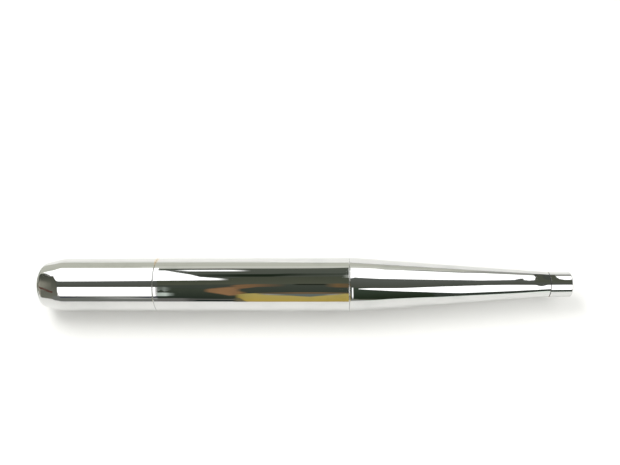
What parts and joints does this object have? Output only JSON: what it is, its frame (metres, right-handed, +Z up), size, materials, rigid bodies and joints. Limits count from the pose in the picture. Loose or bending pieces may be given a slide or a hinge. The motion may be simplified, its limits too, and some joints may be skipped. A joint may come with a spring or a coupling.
{
  "type": "magic wand",
  "caption": "Polished metal magic wand: a straight hollow barrel with a pull-off domed cap at one end and a long taper to a small blunt tip at the other",
  "frame": {"origin": "on the surface that the wand lies on, below the middle of its length", "axes": "X runs along the wand's axis from the domed cap at -X to the small tip at +X; Z is up, and the wand lies on its barrel with its axis 12.7 mm above Z = 0"},
  "size_m": [0.2516, 0.0254, 0.0254],
  "materials": {
    "chrome_plate": "mirror-polished plating over brass, with faint turned polishing lines",
    "bare_brass": "bare turned brass, slightly dulled",
    "spring_bronze": "drawn bronze spring wire"
  },
  "bodies": {
    "wand": {"body_tube": "chrome_plate", "neck_bush": "bare_brass", "chamber_floor": "bare_brass", "joint_bush": "bare_brass", "taper_tube": "chrome_plate", "tip_plug": "chrome_plate"},
    "ring": {"friction_ring": "spring_bronze"},
    "cap": {"cap_shell": "chrome_plate"}
  },
  "joints": [
    {"name": "cap_turn", "type": "hinge", "parent": "wand", "child": "ring", "pos_m": [-0.08595, 0, 0.0127], "axis": [1, 0, 0], "continuous": true},
    {"name": "cap_pull", "type": "slide", "parent": "ring", "child": "cap", "axis": [-1, 0, 0], "range_m": [0, 0.12]}
  ]
}
